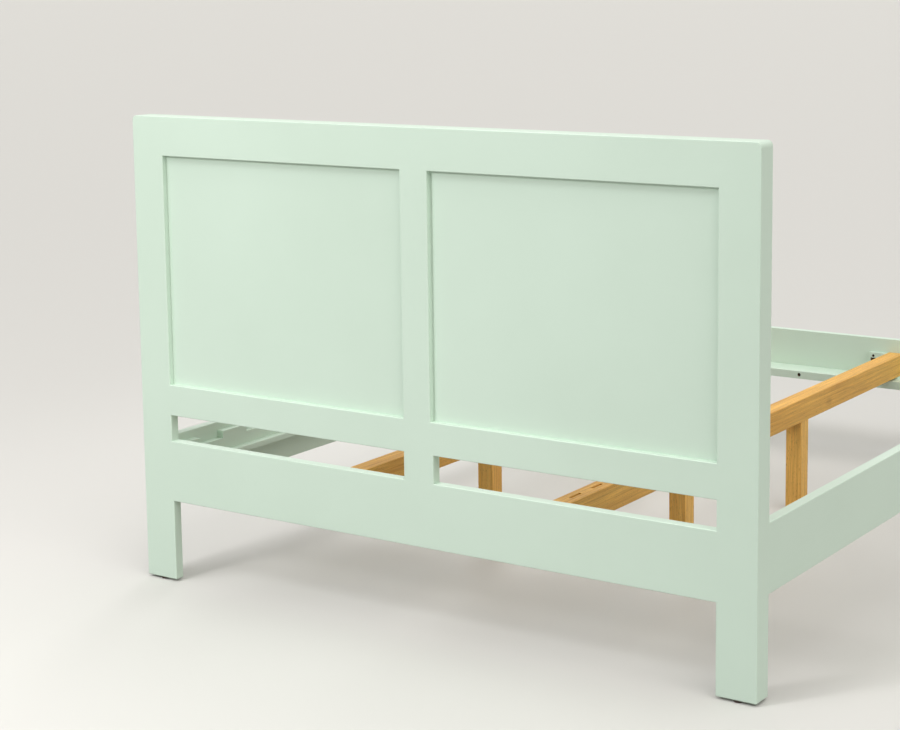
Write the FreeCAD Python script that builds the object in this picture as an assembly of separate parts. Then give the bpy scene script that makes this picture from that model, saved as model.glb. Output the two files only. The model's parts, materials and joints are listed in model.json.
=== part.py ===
import FreeCAD, Part
import os

# A painted wooden bed frame, in millimetres. The headboard stands at -Y and the foot at +Y,
# the floor is Z = 0, and the origin lies on the floor under the middle of the bed.

# Overall bed
bed_width = 1630.0
bed_length = 2100.0

# Headboard heights, from the floor up
leg_clear = 201.0
lower_rail_height = 148.0
slot_height = 63.0
mid_rail_height = 74.5
panel_opening_height = 548.0
top_rail_height = 93.0

# Boards of the headboard and the foot, and the strips that double their outer edges
post_width = 91.0
stile_width = 72.5
slot_stile_width = 79.0
board_thick = 25.0
strip_width = 25.0
strip_depth = 27.5
corner_round = 12.0
arris_round = 2.0
foot_chamfer = 2.5

# Panels behind the cane, the cane webbing and the bead that covers its edge
panel_thick = 5.0
groove_depth = 8.0
panel_play = 0.5
cane_thick = 1.5
cane_play = 0.3
bead_width = 14.0
bead_depth = 5.0
bead_round = 3.0

# Side rails, which stand just inside the edge strips
rail_thick = 25.0
rail_height = 150.0
rail_play = 1.0

# Ledge boards, the bars on the side ledges, and the blocks that keep the slats apart on these
deck_drop = 39.0
side_ledge_width = 36.0
side_ledge_thick = 14.0
end_ledge_width = 80.0
end_ledge_thick = 24.5
ledge_round = 2.5
ledge_end_play = 1.0
bar_height = 30.0
bar_width = 18.0
slat_count = 11
slat_width = 85.0
slat_play = 1.0
end_block_length = 98.0
block_height = 18.0
block_round = 1.0

# Middle beams, their legs, the keepers beside their ends and the packings under these ends
beam_width = 47.0
beam_height = 63.0
beam_spacing = 554.0
beam_end_play = 1.0
beam_round = 2.0
mortise_length = 45.0
mortise_width = 7.0
mortise_depth = 12.0
mortise_start = 156.0
mortise_pitch = 94.0
mortise_count = 2
leg_side = 45.0
leg_place_shares = (0.332, 0.657)
keeper_width = 58.0
keeper_height = 66.0
keeper_thick = 12.0
keeper_play = 0.5
packing_thick = 6.0
packing_length = 46.0

# Round glides under the posts and the legs
glide_height = 5.0
glide_radius = 10.0
glide_round = 1.0

# Dowels
dowel_radius = 5.0
dowel_length = 44.0
dowel_play = 0.1
dowel_end_play = 0.5
rail_dowel_shares = (0.3, 0.7)
wide_rail_dowel_shares = (0.22, 0.78)
stile_dowel_shares = (-0.25, 0.25)

# Hook plates on the rails' ends and slot plates in the posts
fitting_height = 116.0
fitting_width = 18.0
plate_thick = 2.5
hook_width = 5.0
hook_height = 16.0
hook_reach = 8.0
hook_drop = 12.0
hook_play = 0.5
hook_place_shares = (-0.31, 0.12)
plate_screw_shares = (-0.45, 0.45)
plate_screw_length = 18.0

# Screws in the ledges and the keepers
screw_head_radius = 3.6
screw_head_height = 2.0
screw_shank_radius = 1.8
screw_play = 0.1
screw_bite = 18.0
ledge_bore_radius = 5.0
side_ledge_bore_depth = 12.0
end_ledge_bore_depth = 45.0
side_screw_shares = (0.06, 0.28, 0.5, 0.72, 0.94)
end_screw_shares = (-0.44, -0.22, 0, 0.22, 0.44)
keeper_bore_radius = 4.0
keeper_bore_depth = 5.0
keeper_bore_drop = 10.0
keeper_pocket_width = 16.0
keeper_pocket_height = 10.0
keeper_pocket_drop = 21.0
keeper_screw_offset = 44.0

# Overrun of every cut, and how near two places count as one
cut_over = 1.0
touch_tolerance = 0.001

# Places that follow from the sizes
half_width = bed_width / 2
half_length = bed_length / 2
head_back = -half_length
head_front = head_back + board_thick
foot_back = half_length
foot_front = foot_back - board_thick
inner_length = foot_front - head_front
rail_top = leg_clear + lower_rail_height
rail_bottom = rail_top - rail_height
slot_top = rail_top + slot_height
panel_bottom = slot_top + mid_rail_height
panel_top = panel_bottom + panel_opening_height
bed_height = panel_top + top_rail_height
post_inner = half_width - post_width
slot_stile_half = slot_stile_width / 2
stile_left = -slot_stile_half
stile_right = stile_left + stile_width
bead_back = head_front - bead_depth
panel_front = bead_back - cane_thick
panel_back = panel_front - panel_thick
rail_outer = half_width - strip_width - rail_play
rail_inner = rail_outer - rail_thick
rail_middle = (rail_outer + rail_inner) / 2
deck = rail_top - deck_drop
bar_bottom = deck - bar_height
side_ledge_bottom = bar_bottom - side_ledge_thick
beam_bottom = deck - beam_height
end_ledge_top = beam_bottom - packing_thick
end_ledge_bottom = end_ledge_top - end_ledge_thick
keeper_top = end_ledge_top + keeper_height
beam_middle = beam_spacing / 2
ledge_run = inner_length - 2 * ledge_end_play
ledge_start = head_front + ledge_end_play
pocket = slat_width + slat_play
block_length = (ledge_run - slat_count * pocket - 2 * end_block_length) / (slat_count - 1)

X_AXIS = FreeCAD.Vector(1, 0, 0)
Y_AXIS = FreeCAD.Vector(0, 1, 0)
Z_AXIS = FreeCAD.Vector(0, 0, 1)
SIDES = {"left": -1, "right": 1}
ENDS = {"head": -1, "foot": 1}


def block(x, y, z):
    """Box between two places on each axis, given in either order."""
    low = FreeCAD.Vector(min(x), min(y), min(z))
    high = FreeCAD.Vector(max(x), max(y), max(z))
    size = high - low
    return Part.makeBox(size.x, size.y, size.z, low)


def span(middle, size):
    """The two ends of a size that is centred on a place."""
    return (middle - size / 2, middle + size / 2)


def one_solid(shape):
    """The single solid that a cut or an intersection leaves."""
    solids = shape.Solids
    if len(solids) != 1:
        raise ValueError("a board came out as %d solids" % len(solids))
    return solids[0]


def flat_edges(shape, axis, value):
    """Edges that lie in the plane where one axis has the given value."""
    found = []
    for edge in shape.Edges:
        box = edge.BoundBox
        low = (box.XMin, box.YMin, box.ZMin)["xyz".index(axis)]
        high = (box.XMax, box.YMax, box.ZMax)["xyz".index(axis)]
        if abs(low - value) < touch_tolerance and abs(high - value) < touch_tolerance:
            found.append(edge)
    return found


def crossing_edges(shape, axis_a, value_a, axis_b, value_b):
    """Edges where two planes of the shape meet."""
    first = flat_edges(shape, axis_a, value_a)
    second = flat_edges(shape, axis_b, value_b)
    return [edge for edge in first if any(edge.isSame(other) for other in second)]


def round_arris(shape, edges, radius):
    """The same shape with those edges rounded."""
    return shape.makeFillet(radius, edges)


def dowel(middle, axis, play, end_play):
    """Dowel centred on a joint line, or its hole when it is given some play."""
    length = dowel_length + 2 * end_play
    start = middle - axis * (length / 2)
    return Part.makeCylinder(dowel_radius + play, length, start, axis)


def screw(at, along, length, play):
    """Countersunk screw whose flat head lies at a point, or its hole when it is given some play."""
    head = Part.makeCone(screw_head_radius + play, screw_shank_radius + play, screw_head_height, at, along)
    shank = Part.makeCylinder(screw_shank_radius + play, length + play, at, along)
    return one_solid(head.fuse(shank))


def bore(at, along, depth, radius):
    """Round hole that starts a little outside a face and ends at a depth below it."""
    return Part.makeCylinder(radius, depth + cut_over, at - along * cut_over, along)


def panel_openings():
    """The two panel openings of the headboard as spans along X."""
    return {"left": (-post_inner, stile_left), "right": (stile_right, post_inner)}


def slot_openings():
    """The two slots above the headboard's lower rail as spans along X."""
    return {"left": (-post_inner, -slot_stile_half), "right": (slot_stile_half, post_inner)}


def end_frame(y_out, y_in, top, gap_top, windows):
    """Board frame of the headboard or the foot in one piece, with its edges rounded."""
    frame = block((-half_width, half_width), (y_out, y_in), (glide_height, top))
    through = (min(y_out, y_in) - cut_over, max(y_out, y_in) + cut_over)
    frame = frame.cut(block((-post_inner, post_inner), through, (glide_height - cut_over, gap_top)))
    for x, z in windows:
        frame = frame.cut(block(x, through, z))
    bottom = flat_edges(frame, "z", glide_height)
    inside = crossing_edges(frame, "z", glide_height, "y", y_in)
    outer_bottom = [edge for edge in bottom if not any(edge.isSame(other) for other in inside)]
    frame = frame.makeChamfer(foot_chamfer, outer_bottom)
    corners = crossing_edges(frame, "x", half_width, "z", top)
    corners += crossing_edges(frame, "x", -half_width, "z", top)
    frame = round_arris(frame, corners, corner_round)
    above = glide_height + foot_chamfer + touch_tolerance
    show = [edge for edge in flat_edges(frame, "y", y_out) if edge.BoundBox.ZMax > above]
    frame = round_arris(frame, show, arris_round)
    show = []
    for edge in flat_edges(frame, "y", y_in):
        box = edge.BoundBox
        wide = max(abs(box.XMin), abs(box.XMax)) > post_inner + touch_tolerance
        if not wide and box.ZMax > above and box.ZMax < top - touch_tolerance:
            show.append(edge)
    return round_arris(frame, show, arris_round)


def head_dowels():
    """Middles and axes of the dowels that join the headboard's boards."""
    y = (head_back + head_front) / 2
    places = []
    rails = (
        (panel_top, top_rail_height, rail_dowel_shares),
        (slot_top, mid_rail_height, rail_dowel_shares),
        (leg_clear, lower_rail_height, wide_rail_dowel_shares),
    )
    for side in SIDES.values():
        for bottom, height, shares in rails:
            for share in shares:
                places.append((FreeCAD.Vector(side * post_inner, y, bottom + share * height), X_AXIS))
    for z in (panel_bottom, panel_top):
        for share in stile_dowel_shares:
            x = (stile_left + stile_right) / 2 + share * stile_width
            places.append((FreeCAD.Vector(x, y, z), Z_AXIS))
    for z in (rail_top, slot_top):
        places.append((FreeCAD.Vector(0, y, z), Z_AXIS))
    return places


def foot_dowels():
    """Middles and axes of the dowels between the foot rail and its posts."""
    y = (foot_back + foot_front) / 2
    places = []
    for side in SIDES.values():
        for share in wide_rail_dowel_shares:
            place = FreeCAD.Vector(side * post_inner, y, rail_bottom + share * rail_height)
            places.append((place, X_AXIS))
    return places


def leg_dowels():
    """Middles and axes of the dowels between the beams and their legs."""
    places = []
    for side in SIDES.values():
        for share in leg_place_shares:
            y = head_front + share * inner_length
            places.append((FreeCAD.Vector(side * beam_middle, y, beam_bottom), Z_AXIS))
    return places


def dowel_holes(places):
    """Holes for a set of dowels, as one cutter."""
    return Part.makeCompound([dowel(at, axis, dowel_play, dowel_end_play) for at, axis in places])


def dowel_group(places):
    """A set of dowels, as separate solids."""
    return Part.makeCompound([dowel(at, axis, 0, 0) for at, axis in places])


def hook_bottoms():
    """Heights at which the hooks' stems rest on the slots' lower edges."""
    middle = rail_bottom + rail_height / 2
    return [middle + share * fitting_height for share in hook_place_shares]


def fitting_face(side, end):
    """Where a side rail's end meets a post: X of the rail's middle and Y of the joint."""
    return side * rail_middle, end * (half_length - board_thick)


def fitting_plate(side, end, outward):
    """Flat steel plate, in the post when outward is 1 and in the rail's end when it is -1."""
    x, y = fitting_face(side, end)
    middle = rail_bottom + rail_height / 2
    return block(span(x, fitting_width), (y, y + outward * end * plate_thick), span(middle, fitting_height))


def slot_cutters(side, end, depth, play):
    """Space that the two hooks need behind a joint face, down to a depth."""
    x, y = fitting_face(side, end)
    cutters = []
    for bottom in hook_bottoms():
        top = bottom + hook_height + hook_drop + play
        faces = (y - end * cut_over, y + end * depth)
        cutters.append(block(span(x, hook_width + 2 * play), faces, (bottom, top)))
    return cutters


def hook_pockets(side, end):
    """Pockets in a post behind its slot plate, where the hooks drop down."""
    x, y = fitting_face(side, end)
    cutters = []
    for bottom in hook_bottoms():
        low = bottom - hook_drop - hook_play
        top = bottom + hook_height + hook_drop + hook_play
        faces = (y, y + end * (hook_reach + hook_play))
        cutters.append(block(span(x, hook_width + 2 * hook_play), faces, (low, top)))
    return cutters


def plate_screw_places(side, end):
    """Points on a joint face where both plates are screwed down."""
    x, y = fitting_face(side, end)
    middle = rail_bottom + rail_height / 2
    return [FreeCAD.Vector(x, y, middle + share * fitting_height) for share in plate_screw_shares]


def plate_screws(side, end, outward, play):
    """Screws of one plate, or their holes."""
    along = Y_AXIS * (outward * end)
    return [screw(at, along, plate_screw_length, play) for at in plate_screw_places(side, end)]


def slot_plate(side, end):
    """Plate in the post, with the two slots that the hooks pass through."""
    plate = fitting_plate(side, end, 1)
    for cutter in slot_cutters(side, end, plate_thick + cut_over, hook_play):
        plate = plate.cut(cutter)
    for hole in plate_screws(side, end, 1, screw_play):
        plate = plate.cut(hole)
    return one_solid(plate)


def hook_plate(side, end):
    """Plate on the rail's end, with two hooks that reach through the slots and drop behind them."""
    x, y = fitting_face(side, end)
    plate = fitting_plate(side, end, -1)
    for hole in plate_screws(side, end, -1, screw_play):
        plate = plate.cut(hole)
    lip_start = y + end * (plate_thick + hook_play)
    tip = y + end * hook_reach
    for bottom in hook_bottoms():
        across = span(x, hook_width)
        plate = plate.fuse(block(across, (y - end * plate_thick, tip), (bottom, bottom + hook_height)))
        plate = plate.fuse(block(across, (lip_start, tip), (bottom - hook_drop, bottom + hook_height)))
    return one_solid(plate)


def post_cutters(side, end):
    """Everything let into a post where a side rail hooks on."""
    cutters = [fitting_plate(side, end, 1)]
    cutters += hook_pockets(side, end)
    cutters += plate_screws(side, end, 1, screw_play)
    return Part.makeCompound(cutters)


def head_boards():
    """Boards of the headboard, cut from one rounded frame so that their faces run through flush."""
    windows = []
    for x in panel_openings().values():
        windows.append((x, (panel_bottom, panel_top)))
    for x in slot_openings().values():
        windows.append((x, (rail_top, slot_top)))
    frame = end_frame(head_back, head_front, bed_height, leg_clear, windows)
    grooves = []
    for x in panel_openings().values():
        wide = (min(x) - groove_depth, max(x) + groove_depth)
        tall = (panel_bottom - groove_depth, panel_top + groove_depth)
        grooves.append(block(wide, (panel_back, panel_front), tall))
    depth = (head_back - cut_over, head_front + cut_over)
    between = (-post_inner, post_inner)
    all_up = (0, bed_height + cut_over)
    regions = {
        "head_post_left": ((-half_width - cut_over, -post_inner), all_up),
        "head_post_right": ((post_inner, half_width + cut_over), all_up),
        "head_top_rail": (between, (panel_top, bed_height + cut_over)),
        "head_mid_rail": (between, (slot_top, panel_bottom)),
        "head_lower_rail": (between, (leg_clear - cut_over, rail_top)),
        "head_centre_stile": ((stile_left, stile_right), (panel_bottom, panel_top)),
        "head_slot_stile": ((-slot_stile_half, slot_stile_half), (rail_top, slot_top)),
    }
    holes = dowel_holes(head_dowels())
    boards = {}
    for name, (x, z) in regions.items():
        board = frame.common(block(x, depth, z))
        board = board.cut(Part.makeCompound(grooves)).cut(holes)
        boards[name] = board
    for name, side in SIDES.items():
        post = "head_post_" + name
        boards[post] = boards[post].cut(post_cutters(side, ENDS["head"]))
    screws = end_ledge_holes(ENDS["head"]) + keeper_holes(ENDS["head"])
    boards["head_lower_rail"] = boards["head_lower_rail"].cut(Part.makeCompound(screws))
    return {name: one_solid(board) for name, board in boards.items()}


def foot_boards():
    """The foot rail and its two short posts, cut from one rounded frame."""
    frame = end_frame(foot_back, foot_front, rail_top, rail_bottom, [])
    depth = (foot_front - cut_over, foot_back + cut_over)
    all_up = (0, rail_top + cut_over)
    holes = dowel_holes(foot_dowels())
    screws = Part.makeCompound(end_ledge_holes(ENDS["foot"]) + keeper_holes(ENDS["foot"]))
    rail = frame.common(block((-post_inner, post_inner), depth, all_up)).cut(holes).cut(screws)
    boards = {"foot_rail": one_solid(rail)}
    for name, side in SIDES.items():
        x = (side * post_inner, side * (half_width + cut_over))
        post = frame.common(block(x, depth, all_up)).cut(holes)
        boards["foot_post_" + name] = one_solid(post.cut(post_cutters(side, ENDS["foot"])))
    return boards


def rounded_strips(y_board, y_face, top):
    """Edge strips in one piece: two uprights under a top strip, with the edges that show rounded."""
    strips = block((-half_width, half_width), (y_board, y_face), (glide_height, top))
    inside = half_width - strip_width
    through = (min(y_board, y_face) - cut_over, max(y_board, y_face) + cut_over)
    strips = strips.cut(block((-inside, inside), through, (glide_height - cut_over, top - strip_width)))
    outer_bottom = crossing_edges(strips, "x", half_width, "z", glide_height)
    outer_bottom += crossing_edges(strips, "x", -half_width, "z", glide_height)
    strips = strips.makeChamfer(foot_chamfer, outer_bottom)
    corners = crossing_edges(strips, "x", half_width, "z", top)
    corners += crossing_edges(strips, "x", -half_width, "z", top)
    strips = round_arris(strips, corners, corner_round)
    above = glide_height + foot_chamfer + touch_tolerance
    show = [edge for edge in flat_edges(strips, "y", y_face) if edge.BoundBox.ZMax > above]
    return round_arris(strips, show, arris_round)


def head_strips():
    """Side strips and top strip that make the headboard's edge look thick."""
    y_face = head_front + strip_depth
    strips = rounded_strips(head_front, y_face, bed_height)
    inside = half_width - strip_width
    depth = (head_front - cut_over, y_face + cut_over)
    all_up = (0, bed_height + cut_over)
    pieces = {}
    for name, side in SIDES.items():
        x = (side * inside, side * (half_width + cut_over))
        pieces["head_side_strip_" + name] = one_solid(strips.common(block(x, depth, all_up)))
    pieces["head_top_strip"] = one_solid(strips.common(block((-inside, inside), depth, all_up)))
    return pieces


def foot_strips():
    """Strips on the inside of the foot posts, as on the headboard."""
    pieces = {}
    y_face = foot_front - strip_depth
    for name, side in SIDES.items():
        x = (side * (half_width - strip_width), side * half_width)
        strip = block(x, (foot_front, y_face), (glide_height, rail_top))
        bottom = crossing_edges(strip, "x", side * half_width, "z", glide_height)
        strip = strip.makeChamfer(foot_chamfer, bottom)
        corner = crossing_edges(strip, "x", side * half_width, "z", rail_top)
        strip = round_arris(strip, corner, corner_round)
        above = glide_height + foot_chamfer + touch_tolerance
        show = [edge for edge in flat_edges(strip, "y", y_face) if edge.BoundBox.ZMax > above]
        pieces["foot_strip_" + name] = one_solid(round_arris(strip, show, arris_round))
    return pieces


def headboard_fill():
    """Back panels in their grooves, cane webbing on their fronts and the beads round its edge."""
    pieces = {}
    for name, x in panel_openings().items():
        reach = groove_depth - panel_play
        wide = (min(x) - reach, max(x) + reach)
        tall = (panel_bottom - reach, panel_top + reach)
        pieces["back_panel_" + name] = block(wide, (panel_back, panel_front), tall)
        wide = (min(x) + cane_play, max(x) - cane_play)
        tall = (panel_bottom + cane_play, panel_top - cane_play)
        pieces["cane_panel_" + name] = block(wide, (panel_front, bead_back), tall)
        pieces["cane_bead_" + name] = cane_bead(wide, tall)
    return pieces


def rectangle(wide, tall, inset):
    """Corners of a rectangle on X and Z, drawn in by an inset, in turn round it."""
    low_x, high_x = wide[0] + inset, wide[1] - inset
    low_z, high_z = tall[0] + inset, tall[1] - inset
    return [(low_x, low_z), (high_x, low_z), (high_x, high_z), (low_x, high_z)]


def cane_bead(wide, tall):
    """Four bead lengths round one cane panel, mitred at its corners."""
    outside = rectangle(wide, tall, 0)
    inside = rectangle(wide, tall, bead_width)
    beads = []
    for this in range(len(outside)):
        after = (this + 1) % len(outside)
        outline = [outside[this], outside[after], inside[after], inside[this], outside[this]]
        wire = Part.makePolygon([FreeCAD.Vector(x, bead_back, z) for x, z in outline])
        bead = Part.Face(wire).extrude(Y_AXIS * bead_depth)
        edges = []
        for place in (outside[this], inside[this]):
            axis, value = ("z", place[1]) if outside[this][1] == outside[after][1] else ("x", place[0])
            edges += crossing_edges(bead, axis, value, "y", head_front)
        beads.append(one_solid(round_arris(bead, edges, bead_round)))
    return Part.makeCompound(beads)


def side_ledge_places(side):
    """Points on a side ledge's free edge where its screws go in."""
    x = side * (rail_inner - side_ledge_width)
    z = (bar_bottom + side_ledge_bottom) / 2
    return [FreeCAD.Vector(x, ledge_start + share * ledge_run, z) for share in side_screw_shares]


def end_ledge_places(end):
    """Points on an end ledge's free edge where its screws go in."""
    y = end * (half_length - board_thick - end_ledge_width)
    z = (end_ledge_top + end_ledge_bottom) / 2
    return [FreeCAD.Vector(share * 2 * rail_inner, y, z) for share in end_screw_shares]


def side_ledge_screw(at, side, play):
    """Screw at the bottom of a bore in a side ledge, or its hole."""
    along = X_AXIS * side
    length = side_ledge_width - side_ledge_bore_depth + screw_bite
    return screw(at + along * side_ledge_bore_depth, along, length, play)


def end_ledge_screw(at, end, play):
    """Screw at the bottom of a deep bore in an end ledge, or its hole."""
    along = Y_AXIS * end
    length = end_ledge_width - end_ledge_bore_depth + screw_bite
    return screw(at + along * end_ledge_bore_depth, along, length, play)


def side_ledge_holes(side):
    """Holes of one side ledge's screws."""
    return [side_ledge_screw(at, side, screw_play) for at in side_ledge_places(side)]


def end_ledge_holes(end):
    """Holes of one end ledge's screws."""
    return [end_ledge_screw(at, end, screw_play) for at in end_ledge_places(end)]


def side_rail(side):
    """Side rail with its hook plates let into its ends."""
    rail = block((side * rail_inner, side * rail_outer), (head_front, foot_front), (rail_bottom, rail_top))
    edges = []
    for x in (rail_inner, rail_outer):
        edges += crossing_edges(rail, "x", side * x, "z", rail_top)
        edges += crossing_edges(rail, "x", side * x, "z", rail_bottom)
    rail = round_arris(rail, edges, arris_round)
    for end in ENDS.values():
        cutters = [fitting_plate(side, end, -1)]
        cutters += plate_screws(side, end, -1, screw_play)
        rail = rail.cut(Part.makeCompound(cutters))
    return one_solid(rail.cut(Part.makeCompound(side_ledge_holes(side))))


def side_ledge(side):
    """Low board along the inside of a side rail, which carries the slat bar."""
    free = side * (rail_inner - side_ledge_width)
    y = (ledge_start, ledge_start + ledge_run)
    ledge = block((free, side * rail_inner), y, (side_ledge_bottom, bar_bottom))
    ledge = round_arris(ledge, crossing_edges(ledge, "x", free, "z", bar_bottom), ledge_round)
    ledge = ledge.cut(Part.makeCompound(side_ledge_holes(side)))
    for at in side_ledge_places(side):
        ledge = ledge.cut(bore(at, X_AXIS * side, side_ledge_bore_depth, ledge_bore_radius))
    return one_solid(ledge)


def slat_bar(side):
    """Bar between a side ledge and the slat blocks, on whose top the slats' ends rest."""
    across = (side * (rail_inner - bar_width), side * rail_inner)
    return one_solid(block(across, (ledge_start, ledge_start + ledge_run), (bar_bottom, deck)))


def end_ledge(end):
    """Flat board along the headboard's lower rail or the foot rail, which carries the beams' ends."""
    free = end * (half_length - board_thick - end_ledge_width)
    held = end * (half_length - board_thick)
    reach = rail_inner - ledge_end_play
    ledge = block((-reach, reach), (free, held), (end_ledge_bottom, end_ledge_top))
    ledge = round_arris(ledge, crossing_edges(ledge, "y", free, "z", end_ledge_top), ledge_round)
    ledge = ledge.cut(Part.makeCompound(end_ledge_holes(end)))
    for at in end_ledge_places(end):
        ledge = ledge.cut(bore(at, Y_AXIS * end, end_ledge_bore_depth, ledge_bore_radius))
    return one_solid(ledge)


def slat_blocks(side):
    """Blocks on a slat bar, flush with its free face and a slat's width apart."""
    free = side * (rail_inner - bar_width)
    blocks = []
    start = ledge_start
    for number in range(slat_count + 1):
        length = end_block_length if number in (0, slat_count) else block_length
        piece = block((free, side * rail_inner), (start, start + length), (deck, deck + block_height))
        edges = crossing_edges(piece, "x", free, "z", deck + block_height)
        blocks.append(one_solid(round_arris(piece, edges, block_round)))
        start += length + pocket
    return Part.makeCompound(blocks)


def beam(side):
    """Lengthwise middle beam. The right one has narrow mortises in its top near the head."""
    x = side * beam_middle
    start = head_front + beam_end_play
    timber = block(span(x, beam_width), (start, foot_front - beam_end_play), (beam_bottom, deck))
    edges = []
    for place in span(x, beam_width):
        edges += crossing_edges(timber, "x", place, "z", deck)
        edges += crossing_edges(timber, "x", place, "z", beam_bottom)
    timber = round_arris(timber, edges, beam_round)
    if side == SIDES["right"]:
        for number in range(mortise_count):
            first = start + mortise_start + number * mortise_pitch
            depth = (deck - mortise_depth, deck + cut_over)
            timber = timber.cut(block(span(x, mortise_width), (first, first + mortise_length), depth))
    return one_solid(timber.cut(dowel_holes(leg_dowels())))


def beam_leg(side, share):
    """Square leg under a middle beam."""
    y = head_front + share * inner_length
    leg = block(span(side * beam_middle, leg_side), span(y, leg_side), (glide_height, beam_bottom))
    edges = []
    for x in span(side * beam_middle, leg_side):
        for place in span(y, leg_side):
            edges += crossing_edges(leg, "x", x, "y", place)
    leg = round_arris(leg, edges, beam_round)
    return one_solid(leg.cut(dowel_holes(leg_dowels())))


def keeper_spots():
    """Where keepers stand: the face next to a beam and the way that the keeper reaches from it."""
    spots = []
    for side in SIDES.values():
        for way in (-1, 1):
            spots.append((side * beam_middle + way * (beam_width / 2 + keeper_play), way))
    return spots


def keeper_places(end, drop):
    """Points on the keepers' free faces, at a drop below their tops, where screws go in."""
    y = end * (half_length - board_thick - keeper_thick)
    return [FreeCAD.Vector(x + way * keeper_screw_offset, y, keeper_top - drop) for x, way in keeper_spots()]


def keeper_screw_places(end):
    """Points where all screws of the keepers at one end go in."""
    return keeper_places(end, keeper_bore_drop) + keeper_places(end, keeper_pocket_drop)


def keeper_screw(at, end, play):
    """Screw at the bottom of a keeper's bore or pocket, or its hole."""
    along = Y_AXIS * end
    length = keeper_thick - keeper_bore_depth + screw_bite
    return screw(at + along * keeper_bore_depth, along, length, play)


def keeper_holes(end):
    """Holes of the keepers' screws at one end."""
    return [keeper_screw(at, end, screw_play) for at in keeper_screw_places(end)]


def beam_keepers(end):
    """Upright cleats on an end ledge, one on each side of each beam's end."""
    y = (end * (half_length - board_thick - keeper_thick), end * (half_length - board_thick))
    cutters = keeper_holes(end)
    for at in keeper_places(end, keeper_bore_drop):
        cutters.append(bore(at, Y_AXIS * end, keeper_bore_depth, keeper_bore_radius))
    for at in keeper_places(end, keeper_pocket_drop):
        depth = (at.y - end * cut_over, at.y + end * keeper_bore_depth)
        cutters.append(block(span(at.x, keeper_pocket_width), depth, span(at.z, keeper_pocket_height)))
    keepers = []
    for x, way in keeper_spots():
        keeper = block((x, x + way * keeper_width), y, (end_ledge_top, keeper_top))
        keepers.append(one_solid(keeper.cut(Part.makeCompound(cutters))))
    return Part.makeCompound(keepers)


def beam_packings():
    """Thin packings between the end ledges and the beams' ends."""
    packings = []
    for end in ENDS.values():
        held = half_length - board_thick
        y = (end * (held - packing_length), end * held)
        for side in SIDES.values():
            packings.append(block(span(side * beam_middle, beam_width), y, (end_ledge_top, beam_bottom)))
    return Part.makeCompound(packings)


def glide(x, y):
    """Round glide that stands on the floor under a post or a leg."""
    piece = Part.makeCylinder(glide_radius, glide_height, FreeCAD.Vector(x, y, 0), Z_AXIS)
    return one_solid(round_arris(piece, flat_edges(piece, "z", 0), glide_round))


def post_glides(end):
    """Glides under the two posts at one end."""
    x = (post_inner + half_width) / 2
    y = end * (half_length - board_thick / 2)
    return Part.makeCompound([glide(side * x, y) for side in SIDES.values()])


def leg_glides():
    """Glides under the middle legs."""
    glides = []
    for side in SIDES.values():
        for share in leg_place_shares:
            glides.append(glide(side * beam_middle, head_front + share * inner_length))
    return Part.makeCompound(glides)


def fastener_groups():
    """Screws of the ledges, the keepers and the rail fittings."""
    groups = {}
    side_screws = []
    for side in SIDES.values():
        side_screws += [side_ledge_screw(at, side, 0) for at in side_ledge_places(side)]
    groups["side_ledge_screws"] = side_screws
    end_screws = []
    keeper_screws = []
    for end in ENDS.values():
        end_screws += [end_ledge_screw(at, end, 0) for at in end_ledge_places(end)]
        keeper_screws += [keeper_screw(at, end, 0) for at in keeper_screw_places(end)]
    groups["end_ledge_screws"] = end_screws
    groups["keeper_screws"] = keeper_screws
    post_side = []
    rail_side = []
    for side in SIDES.values():
        for end in ENDS.values():
            post_side += plate_screws(side, end, 1, 0)
            rail_side += plate_screws(side, end, -1, 0)
    groups["slot_plate_screws"] = post_side
    groups["hook_plate_screws"] = rail_side
    return {name: Part.makeCompound(screws) for name, screws in groups.items()}


def bed():
    """Every piece of the bed under its name."""
    pieces = {}
    pieces.update(head_boards())
    pieces.update(head_strips())
    pieces.update(headboard_fill())
    pieces.update(foot_boards())
    pieces.update(foot_strips())
    for name, side in SIDES.items():
        pieces["side_rail_" + name] = side_rail(side)
        pieces["side_ledge_" + name] = side_ledge(side)
        pieces["slat_bar_" + name] = slat_bar(side)
        pieces["slat_blocks_" + name] = slat_blocks(side)
        pieces["middle_beam_" + name] = beam(side)
        for place, share in zip(ENDS, leg_place_shares):
            pieces["beam_leg_" + name + "_" + place] = beam_leg(side, share)
    for name, end in ENDS.items():
        pieces[name + "_ledge"] = end_ledge(end)
        pieces[name + "_beam_keepers"] = beam_keepers(end)
        pieces[name + "_post_glides"] = post_glides(end)
        for which, side in SIDES.items():
            pieces["slot_plate_" + name + "_" + which] = slot_plate(side, end)
            pieces["hook_plate_" + name + "_" + which] = hook_plate(side, end)
    pieces["beam_packings"] = beam_packings()
    pieces["leg_glides"] = leg_glides()
    pieces["head_dowels"] = dowel_group(head_dowels())
    pieces["foot_dowels"] = dowel_group(foot_dowels())
    pieces["leg_dowels"] = dowel_group(leg_dowels())
    pieces.update(fastener_groups())
    return pieces


os.makedirs("parts", exist_ok=True)
for node, shape in bed().items():
    shape.exportStep("parts/" + node + ".step")
    box = shape.BoundBox
    print("%-26s %2d solid(s) %10.0f mm3, %7.1f x %7.1f x %7.1f" % (
        node, len(shape.Solids), shape.Volume, box.XLength, box.YLength, box.ZLength))
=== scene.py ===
# %% [markdown]
# A painted wooden bed with a cane headboard
#
# This lesson dresses a bed whose boards were already built at their real size. The boards arrive as a fixed
# frame: they keep their shape and place, and only get finishes. What the frame leaves plain, the woven cane
# on the front of the headboard, is made here as real strands. Everything is in metres. The floor is at Z = 0,
# the headboard at -Y and the foot at +Y.

# %% Load the frame
import json
import math

import bpy
from mathutils import Matrix, Vector


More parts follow.
